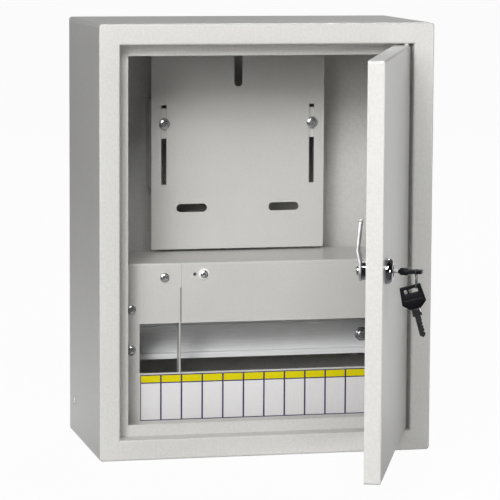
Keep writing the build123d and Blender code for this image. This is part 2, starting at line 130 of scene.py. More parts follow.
def spread(tree, source, low, high, start=0.0, end=1.0):
    made = addNode(tree, "ShaderNodeMapRange")
    made.inputs["From Min"].default_value = start
    made.inputs["From Max"].default_value = end
    made.inputs["To Min"].default_value = low
    made.inputs["To Max"].default_value = high
    wire(tree, source, made.inputs["Value"])
    return made.outputs["Result"]


def bumpFrom(tree, source, strength, distance, below=None):
    made = addNode(tree, "ShaderNodeBump")
    made.inputs["Strength"].default_value = strength
    made.inputs["Distance"].default_value = distance
    wire(tree, source, made.inputs["Height"])
    if below:
        wire(tree, below, made.inputs["Normal"])
    return made.outputs["Normal"]


def shade(color, share):
    return tuple(c * share for c in color)


# grey powder coat: fine speckle and orange peel, a slow ripple of the sheet, faint cloudiness
paint = {
    "dark": (0.565, 0.561, 0.543),
    "light": (0.605, 0.6, 0.58),
    "stops": (0.39, 0.61),
    "cloudScale": 7,
    "speckScale": 430,
    "peelScale": 430,
    "peelStrength": 0.5,
    "peelDepth": 0.0003,
    "rippleScale": 26,
    "rippleStrength": 0.25,
    "rippleDepth": 0.0006,
    "rough": (0.26, 0.34),
    "gloss": 0.45,
}


def powderCoat(name, tone, speck):
    dark, light = shade(paint["dark"], tone), shade(paint["light"], tone)
    made, tree, shader = newFinish(name, light, 0, paint["rough"][0])
    shader.inputs["Specular IOR Level"].default_value = paint["gloss"]
    cloud = noiseFrom(tree, paint["cloudScale"], detail=3)
    grain = noiseFrom(tree, paint["speckScale"], detail=1)
    calm = reckon(tree, "MULTIPLY", cloud, 1 - speck)
    both = reckon(tree, "MULTIPLY_ADD", grain, speck, calm)
    wire(tree, twoTone(tree, both, paint["stops"], dark, light), shader.inputs["Base Color"])
    ripple = noiseFrom(tree, paint["rippleScale"], detail=1)
    slow = bumpFrom(tree, ripple, paint["rippleStrength"], paint["rippleDepth"])
    peel = noiseFrom(tree, paint["peelScale"], detail=2)
    peel = bumpFrom(tree, peel, paint["peelStrength"], paint["peelDepth"], slow)
    wire(tree, peel, shader.inputs["Normal"])
    wire(tree, spread(tree, cloud, *paint["rough"]), shader.inputs["Roughness"])
    return made


# plating: a soft spangle on small parts, a drawn grain along the rail, and a brighter copy of the key
# nickel on the inserted key's collar, a painted highlight
plating = {"stops": (0.3, 0.7), "cloudScale": 90, "grainScale": 700, "grainDepth": 0.00002}
zinc = {
    "dark": (0.54, 0.55, 0.57), "light": (0.72, 0.73, 0.74),
    "metal": 1.0, "rough": (0.18, 0.34), "grain": 0.12,
}
drawnZinc = {
    "dark": (0.8, 0.805, 0.81), "light": (0.88, 0.885, 0.89),
    "metal": 0.06, "rough": (0.4, 0.5), "grain": 0.05,
}
highlightNickelLook = {
    "dark": (0.84, 0.84, 0.845), "light": (0.92, 0.92, 0.925),
    "metal": 0.15, "rough": (0.16, 0.26), "grain": 0.05,
}


def plated(name, look, stretch=None):
    made, tree, shader = newFinish(name, look["light"], look["metal"], look["rough"][0])
    cloud = noiseFrom(tree, plating["cloudScale"], detail=4, stretch=stretch)
    tone = twoTone(tree, cloud, plating["stops"], look["dark"], look["light"])
    wire(tree, tone, shader.inputs["Base Color"])
    wire(tree, spread(tree, cloud, *look["rough"]), shader.inputs["Roughness"])
    fine = noiseFrom(tree, plating["grainScale"], detail=3, stretch=stretch)
    wire(tree, bumpFrom(tree, fine, look["grain"], plating["grainDepth"]), shader.inputs["Normal"])
    return made


# polished metal with a slight haze; rough is a share of the given roughness
polish = {
    "stops": (0.3, 0.7), "dark": 0.85, "rough": (0.6, 2.2),
    "hazeScale": 260, "grainScale": 1500, "grain": 0.05, "grainDepth": 0.00001,
}


def polished(name, color, rough):
    made, tree, shader = newFinish(name, color, 1, rough)
    haze = noiseFrom(tree, polish["hazeScale"], detail=4)
    tone = twoTone(tree, haze, polish["stops"], shade(color, polish["dark"]), color)
    wire(tree, tone, shader.inputs["Base Color"])
    least, most = polish["rough"]
    wire(tree, spread(tree, haze, rough * least, rough * most), shader.inputs["Roughness"])
    fine = noiseFrom(tree, polish["grainScale"], detail=2)
    wire(tree, bumpFrom(tree, fine, polish["grain"], polish["grainDepth"]), shader.inputs["Normal"])
    return made


# moulded plastic and printed film: a fine matt speckle
moulding = {
    "stops": (0.3, 0.7), "dark": 0.85, "roughSpan": 0.08, "speckScale": 1800, "grainDepth": 0.00004,
}


def moulded(name, color, rough, grain, gloss=0.5):
    made, tree, shader = newFinish(name, color, 0, rough)
    shader.inputs["Specular IOR Level"].default_value = gloss
    speck = noiseFrom(tree, moulding["speckScale"], detail=3)
    tone = twoTone(tree, speck, moulding["stops"], shade(color, moulding["dark"]), color)
    wire(tree, tone, shader.inputs["Base Color"])
    span = moulding["roughSpan"]
    wire(tree, spread(tree, speck, rough - span, rough + span), shader.inputs["Roughness"])
    wire(tree, bumpFrom(tree, speck, grain, moulding["grainDepth"]), shader.inputs["Normal"])
    return made


casePaint = powderCoat("greyPowderCoat", tone=1.0, speck=0.7)
# the case's powder coat made darker for the meter plate and covers inside the case: painted shade
shadedPlatePaint = powderCoat("greyCoatPaintedShade", tone=0.93, speck=0.3)
zincSteel = plated("zincPlated", zinc)
railZinc = plated("zincRail", drawnZinc, stretch=(0.6, 9.0, 9.0))
# painted highlight: the inserted key's collar is brighter than the same nickel on the spare key's cuff
paintedHighlightCollar = plated("paintedHighlightCollar", highlightNickelLook)
lockChrome = polished("lockChrome", (0.44, 0.45, 0.47), rough=0.06)
camZinc = polished("camZinc", (0.96, 0.96, 0.97), rough=0.36)
keyNickel = polished("keyNickel", (0.3, 0.3, 0.315), rough=0.13)
ringSteel = polished("ringSteel", (0.5, 0.5, 0.51), rough=0.14)
blackPlastic = moulded("blackKeyPlastic", (0.004, 0.004, 0.006), rough=0.38, grain=0.25, gloss=0.18)
palePlastic = moulded("paleWasher", (0.9, 0.9, 0.88), rough=0.4, grain=0.1)
labelWhite = moulded("labelWhite", (0.77, 0.76, 0.765), rough=0.5, grain=0.03, gloss=0.3)
labelYellow = moulded("labelYellow", (0.72, 0.63, 0.003), rough=0.5, grain=0.03, gloss=0.15)
labelInk = moulded("labelInk", (0.05, 0.035, 0.11), rough=0.5, grain=0.03, gloss=0.2)
print("finishes made")

# which solid wears which finish
finishes = {
    casePaint: ["enclosure_wrap", "back_panel", "door_panel", "earth_bolt", "meter_bracket_left",
                "meter_bracket_right", "hinge_pin_upper", "hinge_pin_lower"],
    # painted shade: the darker copy of the case paint on the plate and covers
    shadedPlatePaint: ["meter_plate", "cover_incomer", "cover_main", "cover_support_left",
                 "cover_support_right", "cover_crossbar"],
    zincSteel: ["meter_plate_screws", "din_rail_bracket_left", "din_rail_bracket_right",
                "din_rail_washers", "din_rail_bolts", "din_rail_nuts", "cover_screws", "seal_screw",
                "earth_washer", "earth_nut", "lock_washer", "lock_nut", "cam_screw"],
    camZinc: ["lock_cam"],
    railZinc: ["din_rail"],
    lockChrome: ["lock_housing", "lock_plug"],
    keyNickel: ["key_blade", "spare_key_blade"],
    ringSteel: ["key_ring"],
    blackPlastic: ["key_head", "spare_key_head"],
    palePlastic: ["seal_washer"],
    labelWhite: ["label_strip_incomer", "label_strip_main"],
}
for finish, names in finishes.items():
    for name in names:
        mesh = nodes[name].data
        mesh.materials.clear()
        mesh.materials.append(finish)

# places on the open door: X to the right along the leaf, Y up, Z outward, in millimetres
lockAxis = Vector(joints["lock_turn"]["axis"]).normalized()
lockRight = Vector((0, 0, 1)).cross(lockAxis)
lockTurn = Matrix((lockRight, (0, 0, 1), lockAxis)).transposed().to_4x4()
lockFrame = Matrix.Translation(joints["lock_turn"]["pos_m"]) @ lockTurn @ Matrix.Scale(mm, 4)


def onLock(joint):
    return lockFrame.inverted() @ Vector(joints[joint]["pos_m"])


# geometry trees: named inputs, evaluated once and kept as a plain mesh
socketKinds = {float: "NodeSocketFloat", int: "NodeSocketInt", tuple: "NodeSocketVector"}
anyVector = (0.0, 0.0, 0.0)  # a tree's input takes its kind from a sample value


def startTree(name, sizes):
    tree = bpy.data.node_groups.new(name, "GeometryNodeTree")
    tree.interface.new_socket("Geometry", in_out="INPUT", socket_type="NodeSocketGeometry")
    for label, value in sizes.items():
        kind = socketKinds.get(type(value), "NodeSocketMaterial")
        tree.interface.new_socket(label, in_out="INPUT", socket_type=kind)
    tree.interface.new_socket("Geometry", in_out="OUTPUT", socket_type="NodeSocketGeometry")
    given = addNode(tree, "NodeGroupInput").outputs
    return tree, given, addNode(tree, "NodeGroupOutput").inputs[0]


def solid(tree, kind, **sizes):
    made = addNode(tree, kind)
    for name, value in sizes.items():
        feed(tree, made.inputs[name.replace("_", " ")], value)
    return made.outputs[0]


def packed(tree, x, y, z):
    made = addNode(tree, "ShaderNodeCombineXYZ")
    for socket, value in zip(made.inputs, (x, y, z)):
        feed(tree, socket, value)
    return made.outputs[0]


def split(tree, vector):
    made = addNode(tree, "ShaderNodeSeparateXYZ")
    wire(tree, vector, made.inputs[0])
    return made.outputs


def shifted(tree, shape, x, y, z):
    made = addNode(tree, "GeometryNodeTransform")
    wire(tree, shape, made.inputs["Geometry"])
    wire(tree, packed(tree, x, y, z), made.inputs["Translation"])
    return made.outputs[0]


def moved(tree, shape, place):
    made = addNode(tree, "GeometryNodeSetPosition")
    wire(tree, shape, made.inputs["Geometry"])
    wire(tree, place, made.inputs["Position"])
    return made.outputs[0]


def joined(tree, *shapes):
    made = addNode(tree, "GeometryNodeJoinGeometry")
    for shape in shapes:
        wire(tree, shape, made.inputs[0])
    return made.outputs[0]


def finished(tree, shape, finish):
    real = addNode(tree, "GeometryNodeRealizeInstances")
    wire(tree, shape, real.inputs[0])
    made = addNode(tree, "GeometryNodeSetMaterial")
    wire(tree, real.outputs[0], made.inputs["Geometry"])
    wire(tree, finish, made.inputs["Material"])
    return made.outputs[0]


def newObject(name, data):
    made = bpy.data.objects.new(name, data)
    scene.collection.objects.link(made)
    return made


edgeAngle = 40  # degrees past which an edge of the keys and small hardware stays crisp


def settle(holder, sharpAngle=32, place=None):
    ready = holder.evaluated_get(bpy.context.evaluated_depsgraph_get())
    shape = bpy.data.meshes.new_from_object(ready)
    name = holder.name
    bpy.data.objects.remove(holder)
    if place:
        shape.transform(place)
    shape.shade_smooth()
    shape.set_sharp_from_angle(angle=math.radians(sharpAngle))
    return newObject(name, shape)


def grow(name, spots, tree, sizes, place=None):
    seed = bpy.data.meshes.new(name + "Seed")
    seed.from_pydata([tuple(s) for s in spots], [], [])
    holder = newObject(name, seed)
    modifier = holder.modifiers.new("make", "NODES")
    modifier.node_group = tree
    for item in tree.interface.items_tree:
        if item.in_out == "INPUT" and item.name in sizes:
            modifier[item.identifier] = sizes[item.name]
    return settle(holder, place=place)


def fit(piece, body, slot, *replaced):
    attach(piece, body)
    if replaced:
        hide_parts(*replaced)


# pan-head screws with a cross recess; each one stops at its own turn
front = (math.pi / 2, 0.0, 0.0)
inward = tuple(Vector((0, 0, 1)).rotation_difference(-lockAxis).to_euler())
screws = {
    "crown": 0.5,  # how far the rim of the head drops, as a share of its height
    "crownPower": 3.0,
    "recess": 0.6,  # the cross, as a share of the head's width
    "recessArm": 0.24,  # an arm's width, as a share of its length
    "recessDeep": 1.1,  # the cutter's depth, as a share of the head's height; half of it cuts
    "shankSeat": 0.49,  # just under half, so the shank starts inside the head
    "sets": {
        "coverScrews": {
            "node": "cover_screws", "body": "enclosure", "aim": front, "seed": 3,
            "head": (4.2, 2.6), "shank": (2.0, 7.0), "y": -121.0,
            "spots": [(118, 94.6), (118, 132.1), (-118, 94.6), (-118, 132.1), (-86.9, 161.0)],
        },
        "sealScrew": {
            "node": "seal_screw", "body": "enclosure", "aim": front, "seed": 8,
            "head": (3.5, 2.2), "shank": (2.0, 8.2), "y": -122.2,
            "spots": [(-49.9, 163.3)],
        },
        "plateScrews": {
            "node": "meter_plate_screws", "body": "enclosure", "aim": front, "seed": 5,
            "head": (5.2, 3.0), "shank": (2.3, 9.0), "y": -39.6,
            "spots": [(-71.6, 295.7), (71.6, 295.7)],
        },
        "railBolts": {
            "node": "din_rail_bolts", "body": "enclosure", "aim": front, "seed": 11,
            "head": (5.3, 3.6), "shank": (3.0, 9.5), "y": -70.7,
            "spots": [(-114.4, 95.5), (114.4, 95.5)],
        },
        "camScrew": {
            "node": "cam_screw", "body": "lock", "aim": inward, "seed": 2,
            "head": (4.3, 3.2), "shank": (1.6, 5.6), "lockSpot": (0, 0, -22.2),
        },
    },
}


def screwTree():
    tree, given, outlet = startTree("crossScrews", {
        "Head radius": 0.0, "Head height": 0.0, "Shank radius": 0.0, "Shank length": 0.0,
        "Crown": 0.0, "Recess": 0.0, "Aim": anyVector, "Seed": 0, "Finish": None,
    })
    radius, height = given["Head radius"], given["Head height"]
    head = solid(tree, "GeometryNodeMeshCylinder", Vertices=36, Side_Segments=4, Fill_Segments=7,
                 Radius=radius, Depth=height)
    head = shifted(tree, head, 0, 0, reckon(tree, "MULTIPLY", height, 0.5))
    x, y, z = split(tree, addNode(tree, "GeometryNodeInputPosition").outputs[0])
    square = reckon(tree, "ADD", reckon(tree, "MULTIPLY", x, x), reckon(tree, "MULTIPLY", y, y))
    share = reckon(tree, "DIVIDE", reckon(tree, "SQRT", square), radius)
    drop = reckon(tree, "MULTIPLY", reckon(tree, "POWER", share, screws["crownPower"]), given["Crown"])
    crowned = reckon(tree, "MULTIPLY", z, reckon(tree, "SUBTRACT", 1.0, drop))
    head = moved(tree, head, packed(tree, x, y, crowned))
    span = reckon(tree, "MULTIPLY", reckon(tree, "MULTIPLY", radius, 2.0), given["Recess"])
    slim = reckon(tree, "MULTIPLY", span, screws["recessArm"])
    deep = reckon(tree, "MULTIPLY", height, screws["recessDeep"])
    cut = addNode(tree, "GeometryNodeMeshBoolean", operation="DIFFERENCE", solver="EXACT")
    wire(tree, head, cut.inputs["Mesh 1"])
    for wide, tall in ((span, slim), (slim, span)):
        bar = solid(tree, "GeometryNodeMeshCube", Size=packed(tree, wide, tall, deep))
        wire(tree, shifted(tree, bar, 0, 0, height), cut.inputs["Mesh 2"])
    length = given["Shank length"]
    shank = solid(tree, "GeometryNodeMeshCylinder", Vertices=20,
                  Radius=given["Shank radius"], Depth=length)
    shank = shifted(tree, shank, 0, 0, reckon(tree, "MULTIPLY", length, -screws["shankSeat"]))
    row = addNode(tree, "GeometryNodeInstanceOnPoints")
    wire(tree, given["Geometry"], row.inputs["Points"])
    wire(tree, joined(tree, cut.outputs["Mesh"], shank), row.inputs["Instance"])
    aim = addNode(tree, "FunctionNodeEulerToRotation")
    wire(tree, given["Aim"], aim.inputs[0])
    wire(tree, aim.outputs[0], row.inputs["Rotation"])
    chance = addNode(tree, "FunctionNodeRandomValue", data_type="FLOAT")
    chance.inputs[3].default_value = math.pi  # the most that a screw is turned
    wire(tree, given["Seed"], chance.inputs["Seed"])
    spin = addNode(tree, "GeometryNodeRotateInstances")
    wire(tree, row.outputs[0], spin.inputs["Instances"])
    wire(tree, packed(tree, 0, 0, chance.outputs[1]), spin.inputs["Rotation"])
    wire(tree, finished(tree, spin.outputs[0], given["Finish"]), outlet)
    return tree


def addScrews():
    tree = screwTree()
    for name, one in screws["sets"].items():
        if "lockSpot" in one:
            spots = [lockFrame @ Vector(one["lockSpot"])]
        else:
            spots = [Vector((x, one["y"], baseZ + z)) * mm for x, z in one["spots"]]
        piece = grow(name, spots, tree, {
            "Head radius": one["head"][0] * mm, "Head height": one["head"][1] * mm,
            "Shank radius": one["shank"][0] * mm, "Shank length": one["shank"][1] * mm,
            "Crown": screws["crown"], "Recess": screws["recess"],
            "Aim": one["aim"], "Seed": one["seed"], "Finish": zincSteel,
        })
        fit(piece, one["body"], "zinc_steel", one["node"])


addScrews()
print("screws made")

# circuit label: white cells under yellow headers on a dark printed ground,
# cut at the seam of the covers
label = {
    "strips": {
        "circuitLabelIncomer": {
            "node": "label_strip_incomer", "start": -109.5, "pitch": 19.35, "cells": 2,
        },
        "circuitLabelMain": {
            "node": "label_strip_main", "start": -70.8, "pitch": 19.54, "cells": 10,
        },
    },
    "line": 1.5,
    "white": (29.0, 62.8),  # heights above the base of the case
    "yellow": (63.9, 70.1),
    "groundShare": 0.6,  # part of the film's thickness that is ground
}


def labelTree():
    tree, given, outlet = startTree("circuitLabel", {
        "Cells": 0, "Pitch": 0.0, "Line": 0.0, "Start": 0.0,
        "Front": 0.0, "Film": 0.0, "Ground share": 0.0,
        "White low": 0.0, "White high": 0.0, "Yellow low": 0.0, "Yellow high": 0.0,
        "Ground size": anyVector, "Ground middle": anyVector,
        "White": None, "Yellow": None, "Ink": None,
    })
    ground = solid(tree, "GeometryNodeMeshCube", Size=given["Ground size"])
    ground = shifted(tree, ground, *split(tree, given["Ground middle"]))
    tileShare = reckon(tree, "SUBTRACT", 1.0, given["Ground share"])
    tileThick = reckon(tree, "MULTIPLY", given["Film"], tileShare)
    tileY = reckon(tree, "ADD", given["Front"], reckon(tree, "MULTIPLY", tileThick, 0.5))
    firstX = reckon(tree, "ADD", given["Start"], reckon(tree, "MULTIPLY", given["Pitch"], 0.5))
    wide = reckon(tree, "SUBTRACT", given["Pitch"], given["Line"])
    shapes = [finished(tree, ground, given["Ink"])]
    for band in ("White", "Yellow"):
        low, high = given[band + " low"], given[band + " high"]
        row = addNode(tree, "GeometryNodeMeshLine")
        middle = reckon(tree, "MULTIPLY", reckon(tree, "ADD", low, high), 0.5)
        wire(tree, given["Cells"], row.inputs["Count"])
        wire(tree, packed(tree, firstX, tileY, middle), row.inputs["Start Location"])
        wire(tree, packed(tree, given["Pitch"], 0, 0), row.inputs["Offset"])
        tileSize = packed(tree, wide, tileThick, reckon(tree, "SUBTRACT", high, low))
        tile = solid(tree, "GeometryNodeMeshCube", Size=tileSize)
        cells = addNode(tree, "GeometryNodeInstanceOnPoints")
        wire(tree, row.outputs[0], cells.inputs["Points"])
        wire(tree, tile, cells.inputs["Instance"])
        shapes.append(finished(tree, cells.outputs[0], given[band]))
    wire(tree, joined(tree, *shapes), outlet)
    return tree


def addLabels():
    tree = labelTree()
    for name, strip in label["strips"].items():
        low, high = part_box(strip["node"])
        film = high.y - low.y
        ground = film * label["groundShare"]
        white, yellow = ([(baseZ + z) * mm for z in label[band]] for band in ("white", "yellow"))
        piece = grow(name, [(0, 0, 0)], tree, {
            "Cells": strip["cells"], "Pitch": strip["pitch"] * mm, "Line": label["line"] * mm,
            "Start": strip["start"] * mm,
            "Front": low.y, "Film": film, "Ground share": label["groundShare"],
            "White low": white[0], "White high": white[1],
            "Yellow low": yellow[0], "Yellow high": yellow[1],
            "Ground size": (high.x - low.x, ground, high.z - low.z),
            "Ground middle": ((low.x + high.x) / 2, high.y - ground / 2,
                              (low.z + high.z) / 2),
            "White": labelWhite, "Yellow": labelYellow, "Ink": labelInk,
        })
        fit(piece, "enclosure", "label_film", strip["node"])


addLabels()
print("circuit labels made")

# split key ring: two turns of wire lying on each other
splitRing = {"radius": 8.1, "wire": 0.31, "turns": 1.96, "rise": 0.6, "resolution": 72, "roll": 160}
# rolled thread along the lock barrel, cut flat at the two sides
thread = {
    "radius": 7.85, "wire": 0.34, "start": -19.6, "end": -7.0, "pitch": 1.0, "resolution": 48,
    "flat": 7.03,
}
wireSides = 10  # facets around the wire


def coilTree():
    tree, given, outlet = startTree("wireCoil", {
        "Radius": 0.0, "Wire": 0.0, "Turns": 0.0, "Rise": 0.0, "Resolution": 0, "Flat": 0.0,
        "Finish": None,
    })
    radius = given["Radius"]
    coil = solid(tree, "GeometryNodeCurveSpiral", Resolution=given["Resolution"],
                 Rotations=given["Turns"], Start_Radius=radius, End_Radius=radius,
                 Height=given["Rise"])
    ring = addNode(tree, "GeometryNodeCurvePrimitiveCircle")
    ring.inputs["Resolution"].default_value = wireSides
    wire(tree, given["Wire"], ring.inputs["Radius"])
    tube = addNode(tree, "GeometryNodeCurveToMesh")
    wire(tree, coil, tube.inputs["Curve"])
    wire(tree, ring.outputs[0], tube.inputs["Profile Curve"])
    tube.inputs["Fill Caps"].default_value = True
    x, y, z = split(tree, addNode(tree, "GeometryNodeInputPosition").outputs[0])
    limit = addNode(tree, "ShaderNodeClamp")
    wire(tree, x, limit.inputs["Value"])
    wire(tree, reckon(tree, "MULTIPLY", given["Flat"], -1.0), limit.inputs["Min"])
    wire(tree, given["Flat"], limit.inputs["Max"])
    shape = moved(tree, tube.outputs[0], packed(tree, limit.outputs[0], y, z))
    wire(tree, finished(tree, shape, given["Finish"]), outlet)
    return tree


def addCoils():
    tree = coilTree()
    swing = onLock("ring_swing")
    low = onLock("spare_key_swing")
    centre = Vector((swing.x, low.y + splitRing["radius"], swing.z - splitRing["rise"] / 2))
    roll = Matrix.Rotation(math.radians(splitRing["roll"]), 4, "Z")
    ring = grow("splitKeyRing", [(0, 0, 0)], tree, {
        "Radius": splitRing["radius"], "Wire": splitRing["wire"], "Turns": splitRing["turns"],
        "Rise": splitRing["rise"], "Resolution": splitRing["resolution"],
        "Flat": 2 * splitRing["radius"],  # past the wire, so the ring stays round
        "Finish": ringSteel,
    }, lockFrame @ Matrix.Translation(centre) @ roll)
    fit(ring, "key_ring", "ring_steel", "key_ring")
    length = thread["end"] - thread["start"]
    barrel = grow("barrelThread", [(0, 0, 0)], tree, {
        "Radius": thread["radius"], "Wire": thread["wire"], "Turns": length / thread["pitch"],
        "Rise": length, "Resolution": thread["resolution"], "Flat": thread["flat"],
        "Finish": lockChrome,
    }, lockFrame @ Matrix.Translation((0, 0, thread["start"])))
    fit(barrel, "door", "lock_chrome")


addCoils()
print("key ring and barrel thread made")

# keys: a moulded head with a raised pad, and a milled blade; X across, Z along, thickness in Y
key = {
    "headLine": [(-8.9, 30.6), (8.9, 30.6), (10.3, 15.5), (4.6, 10.5), (-4.6, 10.5), (-10.3, 15.5)],
    "padLine": [(-8.3, 19.2), (8.3, 19.2), (8.6, 16.2), (4.05, 12.0), (-4.05, 12.0), (-8.6, 16.2)],
    "openings": [((-5.8, 24.4), (1.9, 27.8)), ((3.3, 24.4), (6.0, 27.8))],
    "corner": 1.0,
    "openingCorner": 0.8,
    "padCorner": 0.8,
    "headThick": 3.4,
    "padThick": 5.8,
    "headEdge": 0.6,
    "bladeLine": [(-4.0, 11.0), (-4.0, 4.2), (-2.5, 4.2), (-2.5, -12.3), (0, -14.3), (2.5, -12.3),
                  (2.5, 4.2), (4.0, 4.2), (4.0, 11.0)],
    "shoulder": (-2.5, 4.2),  # the corner of the blade where its notched edge begins
    "notches": [(-0.9, 0.9), (-3.8, 1.4), (-6.5, 0.7), (-9.5, 1.2)],  # height, depth
    "notchWide": 1.7,
    "bladeThick": 2.0,
    "bladeEdge": 0.14,
    "groove": {"x": (0.2, 1.5), "z": (-20, 9), "deep": 0.45, "clear": 1},
    "collar": {
        "line": [(-4.0, 6.1), (4.0, 6.1), (4.0, 14.0), (-4.0, 14.0)],
        "corner": 0.8, "thick": 3.2, "edge": 1.2,
    },
    "roll": -5,  # the key stands a little turned in its slot
    "hang": (-4.6, 26.9),  # where the ring holds the spare key's head
    "tilt": 15.5,
}


def rounded(line, radius, steps=5):
    out = []
    for i, corner in enumerate(line):
        here = Vector(corner)
        back = (Vector(line[i - 1]) - here).normalized()
        ahead = (Vector(line[(i + 1) % len(line)]) - here).normalized()
        reach = radius / math.tan(back.angle(ahead) / 2)
        start, end = here + back * reach, here + ahead * reach
        for k in range(steps + 1):
            t = k / steps
            out.append(start * (1 - t) ** 2 + here * 2 * t * (1 - t) + end * t ** 2)
    return out


def flatShape(name, lines, thick, edge, finish):
    data = bpy.data.curves.new(name, "CURVE")
    data.dimensions = "2D"
    data.fill_mode = "BOTH"
    data.extrude = thick / 2 - edge
    data.bevel_depth = edge
    data.bevel_resolution = 3
    data.offset = -edge
    for line in lines:
        spline = data.splines.new("POLY")
        spline.points.add(len(line) - 1)
        for point, (x, z) in zip(spline.points, line):
            point.co = (x, z, 0, 1)
        spline.use_cyclic_u = True
    data.materials.append(finish)
    piece = settle(newObject(name, data), edgeAngle, Matrix.Rotation(math.pi / 2, 4, "X"))
    closeUp(piece.data)
    return piece


def closeUp(mesh):
    work = bmesh.new()
    work.from_mesh(mesh)
    bmesh.ops.remove_doubles(work, verts=work.verts, dist=1e-5)
    bmesh.ops.recalc_face_normals(work, faces=work.faces)
    work.to_mesh(mesh)
    work.free()


def boxMesh(name, low, high):
    mesh = bpy.data.meshes.new(name)
    work = bmesh.new()
    bmesh.ops.create_cube(work, size=1)
    for vert in work.verts:
        vert.co = Vector(low[i] if vert.co[i] < 0 else high[i] for i in range(3))
    work.to_mesh(mesh)
    work.free()
    return mesh


def combine(piece, others, operation, place=None):
    for other in others:
        modifier = piece.modifiers.new("combine", "BOOLEAN")
        modifier.operation = operation
        modifier.solver = "EXACT"
        modifier.object = other
        if other.data.materials:
            modifier.material_mode = "TRANSFER"  # a joined piece keeps its own finish
    made = settle(piece, edgeAngle, place)
    for other in others:
        bpy.data.objects.remove(other)
    return made


def keyHead(name, place):
    openings = []
    for (x0, z0), (x1, z1) in key["openings"]:
        openings.append(rounded([(x0, z0), (x1, z0), (x1, z1), (x0, z1)], key["openingCorner"]))
    outer = rounded(key["headLine"], key["corner"])
    edge = key["headEdge"]
    head = flatShape(name, [outer] + openings, key["headThick"], edge, blackPlastic)
    inner = rounded(key["padLine"], key["padCorner"])
    pad = flatShape(name + "Pad", [inner], key["padThick"], edge, blackPlastic)
    return combine(head, [pad], "UNION", place)


def keyBlade(name, place, cuffFinish):
    line = []
    half = key["notchWide"] / 2
    for x, z in key["bladeLine"]:
        line.append((x, z))
        if (x, z) == key["shoulder"]:
            for height, deep in key["notches"]:
                line += [(x, height + half), (x + deep, height), (x, height - half)]
    blade = flatShape(name, [line], key["bladeThick"], key["bladeEdge"], keyNickel)
    groove = key["groove"]
    (x0, x1), (z0, z1) = groove["x"], groove["z"]
    face = key["bladeThick"] / 2
    cutters = []
    for side in (-1, 1):
        y0, y1 = sorted((side * (face - groove["deep"]), side * (face + groove["clear"])))
        cutters.append(newObject("millCut", boxMesh("millCut", (x0, y0, z0), (x1, y1, z1))))
    blade = combine(blade, cutters, "DIFFERENCE")
    collar = key["collar"]
    outline = rounded(collar["line"], collar["corner"])
    cuff = flatShape(name + "Cuff", [outline], collar["thick"], collar["edge"], cuffFinish)
    return combine(blade, [cuff], "UNION", place)


def addKeys():
    low = onLock("spare_key_swing")
    hangTurn = Matrix(((0, -1, 0), (0, 0, 1), (-1, 0, 0))).to_4x4()  # blade down, square to the door
    across, along = key["hang"]
    tilt = Matrix.Rotation(math.radians(key["tilt"]), 4, "Y")
    hang = tilt @ Matrix.Translation((-across, 0, -along))
    spareFrame = lockFrame @ Matrix.Translation(low) @ hangTurn @ hang
    inLock = lockFrame @ Matrix.Rotation(math.radians(key["roll"]), 4, "Z")
    fit(keyHead("keyHead", inLock), "lock", "black_plastic", "key_head")
    # the inserted key's collar wears the painted-highlight nickel; the spare key's cuff keeps keyNickel
    fit(keyBlade("keyBlade", inLock, paintedHighlightCollar), "lock", "key_steel", "key_blade")
    fit(keyHead("spareKeyHead", spareFrame), "spare_key", "black_plastic", "spare_key_head")
    fit(keyBlade("spareKeyBlade", spareFrame, keyNickel), "spare_key", "key_steel", "spare_key_blade")


addKeys()
print("keys made")

# turned lock housing: domed bezel on the door, barrel with two flats behind it
housing = {
    "bore": 5.55, "barrel": 8.0, "flat": 7.0, "rim": 10.8, "edge": 0.35, "height": 6.3,
    "dome": (4.2, 4.4), "steps": 10, "around": 96, "sharpAngle": 28,
}


def addHousing():
    toLock = lockFrame.inverted()
    end = min((toLock @ v.co).z for v in nodes["lock_housing"].data.vertices)
    bore, barrel, rim, edge = (housing[k] for k in ("bore", "barrel", "rim", "edge"))
    height, flat = housing["height"], housing["flat"]
    wide, tall = housing["dome"]
    line = [(bore, end), (barrel - edge, end), (barrel, end + edge), (barrel, 0),
            (rim - edge, 0), (rim, edge)]
    for k in range(housing["steps"] + 1):
        turn = math.pi / 2 * k / housing["steps"]
        line.append((rim - wide + wide * math.cos(turn), height - tall + tall * math.sin(turn)))
    line += [(bore + edge, height), (bore, height - edge)]
    around, count = housing["around"], len(line)
    spots, faces = [], []
    for i in range(around):
        turn = 2 * math.pi * i / around
        for radius, out in line:
            x = radius * math.cos(turn)
            if out <= 0 and radius <= barrel:
                x = max(-flat, min(flat, x))
            spots.append((x, radius * math.sin(turn), out))
        ahead = (i + 1) % around
        for k in range(count):
            after = (k + 1) % count
            faces.append((i * count + k, i * count + after,
                          ahead * count + after, ahead * count + k))
    mesh = bpy.data.meshes.new("lockHousing")
    mesh.from_pydata(spots, [], faces)
    closeUp(mesh)
    mesh.materials.append(lockChrome)
    piece = settle(newObject("lockHousing", mesh), housing["sharpAngle"], lockFrame)
    fit(piece, "door", "lock_chrome", "lock_housing")


addHousing()
print("lock housing made")

# small hardware with its edges broken
softened = {
    "lockCam": {"node": "lock_cam", "body": "lock", "slot": "zinc_steel", "edge": 0.3},
    "lockNut": {"node": "lock_nut", "body": "door", "slot": "zinc_steel", "edge": 0.35},
    "lockWasher": {"node": "lock_washer", "body": "door", "slot": "zinc_steel", "edge": 0.15},
    "railNuts": {"node": "din_rail_nuts", "body": "enclosure", "slot": "zinc_steel", "edge": 0.4},
    "railWashers": {"node": "din_rail_washers", "body": "enclosure", "slot": "zinc_steel", "edge": 0.25},
    "earthNut": {"node": "earth_nut", "body": "enclosure", "slot": "zinc_steel", "edge": 0.4},
    "earthWasher": {"node": "earth_washer", "body": "enclosure", "slot": "zinc_steel", "edge": 0.25},
    "sealWasher": {"node": "seal_washer", "body": "enclosure", "slot": "pale_plastic", "edge": 0.4},
}


